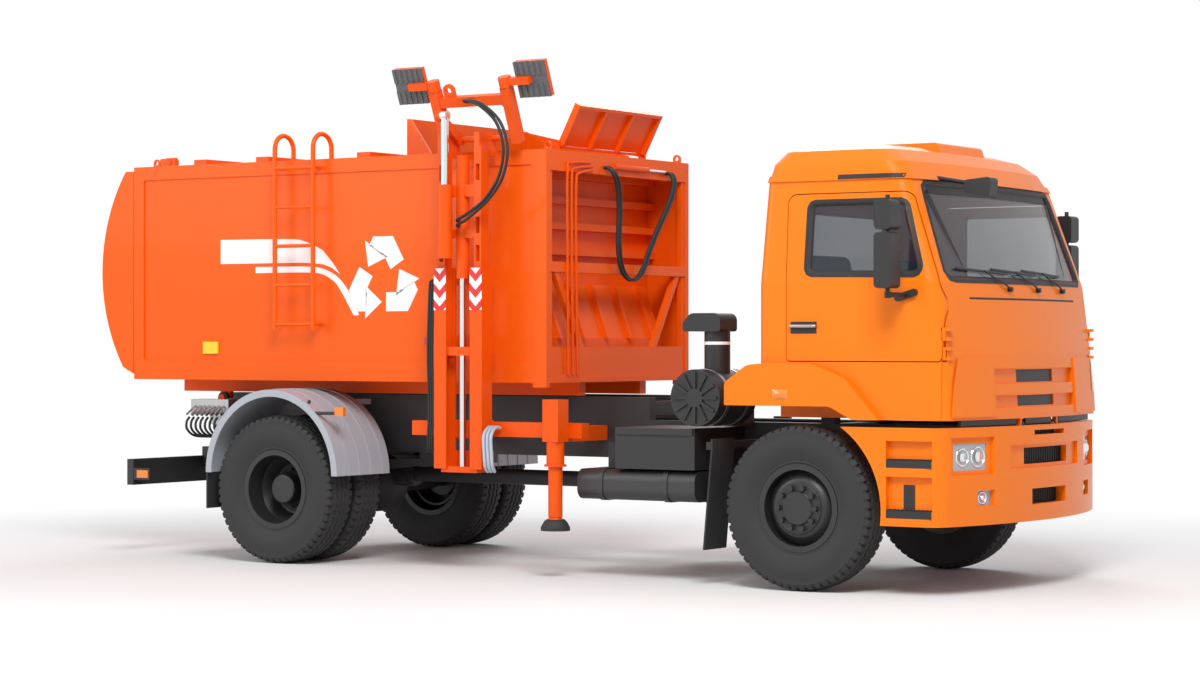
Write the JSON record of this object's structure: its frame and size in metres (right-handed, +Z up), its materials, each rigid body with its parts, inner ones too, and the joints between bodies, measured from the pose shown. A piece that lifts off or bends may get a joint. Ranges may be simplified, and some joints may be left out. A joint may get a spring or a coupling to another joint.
{
  "type": "garbage truck",
  "caption": "Side-loading garbage truck: cab-over chassis, hollow tipping refuse body with roof hopper, side mast with bin grips, tailgate and ladder.",
  "frame": {"origin": "on the ground under the middle of the box that holds the truck", "axes": "+X forward, +Y to the truck's left, +Z up"},
  "size_m": [7.3202, 2.85, 3.4619],
  "materials": {
    "frame_black": "satin black chassis paint",
    "cast_black": "painted casting",
    "tyre": "black rubber",
    "wheel_black": "satin black",
    "body_orange": "gloss orange",
    "cab_orange": "gloss orange",
    "glass": "clear",
    "plastic_black": "grained black",
    "plastic_grey": "grained grey",
    "fabric": "woven",
    "lamp": "clear lamp lens",
    "chrome": "polished rod",
    "steel": "bare steel",
    "guard_grey": "grey moulding",
    "silencer": "dull heat shield",
    "loader_orange": "gloss orange"
  },
  "bodies": {
    "chassis": {"chassis_frame": "frame_black", "subframe": "frame_black", "front_axle_beam": "cast_black", "rear_axle": "cast_black", "leaf_springs": "frame_black", "engine_gearbox": "cast_black", "propeller_shaft": "cast_black", "front_bumper": "cab_orange", "headlamps": "lamp", "step_panels": "cab_orange", "air_cleaner": "plastic_black", "battery_box": "frame_black", "silencer": "silencer", "fuel_tank": "frame_black", "rear_mudguards": "guard_grey", "underrun_bar": "frame_black", "valve_bank": "steel", "front_mudflaps": "tyre", "loader_mast": "loader_orange", "lift_rod": "chrome"},
    "cab": {"cab_body": "cab_orange", "cab_roof": "cab_orange", "front_panel": "cab_orange", "cab_glass": "glass", "dashboard": "plastic_grey", "seats": "fabric", "steering_wheel": "plastic_black", "front_wings": "cab_orange", "cab_trim": "plastic_black"},
    "door_right": {"door_right": "cab_orange", "door_glass_right": "glass", "mirrors_right": "plastic_black"},
    "door_left": {"door_left": "cab_orange", "door_glass_left": "glass", "mirrors_left": "plastic_black"},
    "knuckle_right": {"knuckle_right": "cast_black"},
    "knuckle_left": {"knuckle_left": "cast_black"},
    "wheel_front_right": {"front_tyre_right": "tyre", "front_wheel_right": "wheel_black"},
    "wheel_front_left": {"front_tyre_left": "tyre", "front_wheel_left": "wheel_black"},
    "wheels_rear_right": {"rear_tyres_right": "tyre", "rear_wheels_right": "wheel_black"},
    "wheels_rear_left": {"rear_tyres_left": "tyre", "rear_wheels_left": "wheel_black"},
    "refuse_body": {"body_floor": "body_orange", "body_wall_left": "body_orange", "body_wall_right": "body_orange", "body_roof": "body_orange", "body_front_frame": "body_orange", "ladder": "body_orange"},
    "tailgate": {"tailgate": "body_orange"},
    "hopper_flap": {"hopper_flap": "body_orange"},
    "packer_plate": {"packer_plate": "body_orange"},
    "carriage": {"carriage": "loader_orange"},
    "tip_head": {"tip_head": "loader_orange"},
    "tilt_rod": {"tilt_rod": "chrome"},
    "grip_rear": {"grip_arm_rear": "loader_orange"},
    "grip_front": {"grip_arm_front": "loader_orange"},
    "outrigger": {"outrigger_leg": "loader_orange"}
  },
  "joints": [
    {"name": "cab_tilt", "type": "hinge", "parent": "chassis", "child": "cab", "pos_m": [3.57, 0, 1.05], "axis": [0, 1, 0], "range_deg": [0, 50]},
    {"name": "door_right_swing", "type": "hinge", "parent": "cab", "child": "door_right", "pos_m": [3.446, -1.108, 1.56], "axis": [0, 0, 1], "range_deg": [0, 70]},
    {"name": "door_left_swing", "type": "hinge", "parent": "cab", "child": "door_left", "pos_m": [3.446, 1.108, 1.56], "axis": [0, 0, -1], "range_deg": [0, 70]},
    {"name": "steer_right", "type": "hinge", "parent": "chassis", "child": "knuckle_right", "pos_m": [2.44, -0.86, 0.525], "axis": [0, 0, 1], "range_deg": [-38, 38]},
    {"name": "steer_left", "type": "hinge", "parent": "chassis", "child": "knuckle_left", "pos_m": [2.44, 0.86, 0.525], "axis": [0, 0, 1], "range_deg": [-38, 38]},
    {"name": "roll_front_right", "type": "hinge", "parent": "knuckle_right", "child": "wheel_front_right", "pos_m": [2.44, -1.02, 0.525], "axis": [0, 1, 0], "continuous": true},
    {"name": "roll_front_left", "type": "hinge", "parent": "knuckle_left", "child": "wheel_front_left", "pos_m": [2.44, 1.02, 0.525], "axis": [0, 1, 0], "continuous": true},
    {"name": "roll_rear_right", "type": "hinge", "parent": "chassis", "child": "wheels_rear_right", "pos_m": [-1.76, -0.925, 0.525], "axis": [0, 1, 0], "continuous": true},
    {"name": "roll_rear_left", "type": "hinge", "parent": "chassis", "child": "wheels_rear_left", "pos_m": [-1.76, 0.925, 0.525], "axis": [0, 1, 0], "continuous": true},
    {"name": "body_tip", "type": "hinge", "parent": "chassis", "child": "refuse_body", "pos_m": [-2.9, 0, 1.15], "axis": [0, -1, 0], "range_deg": [0, 48]},
    {"name": "tailgate_swing", "type": "hinge", "parent": "refuse_body", "child": "tailgate", "pos_m": [-3.3, 0, 2.94], "axis": [0, 1, 0], "range_deg": [0, 90]},
    {"name": "hopper_flap_fold", "type": "hinge", "parent": "refuse_body", "child": "hopper_flap", "pos_m": [0.22, 0, 2.925], "axis": [0, -1, 0], "range_deg": [0, 115]},
    {"name": "packer_stroke", "type": "slide", "parent": "refuse_body", "child": "packer_plate", "axis": [-1, 0, 0], "range_m": [0, 0.5]},
    {"name": "carriage_lift", "type": "slide", "parent": "chassis", "child": "carriage", "axis": [0, 0, 1], "range_m": [-0.75, 0]},
    {"name": "head_tilt", "type": "hinge", "parent": "carriage", "child": "tip_head", "pos_m": [-0.08, -1.01, 2.96], "axis": [1, 0, 0], "range_deg": [0, 95]},
    {"name": "tilt_rod_stroke", "type": "slide", "parent": "carriage", "child": "tilt_rod", "axis": [0, 0, -1], "range_m": [0, 0.45]},
    {"name": "grip_front_swing", "type": "hinge", "parent": "tip_head", "child": "grip_front", "pos_m": [0.21, -1.14486, 3.29379], "axis": [0, -0.3746, 0.9272], "range_deg": [0, 75]},
    {"name": "grip_rear_swing", "type": "hinge", "parent": "tip_head", "child": "grip_rear", "pos_m": [-0.385, -1.14486, 3.29379], "axis": [0, 0.3746, -0.9272], "range_deg": [0, 75]},
    {"name": "outrigger_drop", "type": "slide", "parent": "chassis", "child": "outrigger", "axis": [0, 0, -1], "range_m": [0, 0.315]}
  ],
  "couplings": [
    {"joint": "steer_left", "follows": "steer_right", "ratio": 1},
    {"joint": "tilt_rod_stroke", "follows": "head_tilt", "m_per_rad": 0.2425},
    {"joint": "grip_rear_swing", "follows": "grip_front_swing", "ratio": 1}
  ]
}
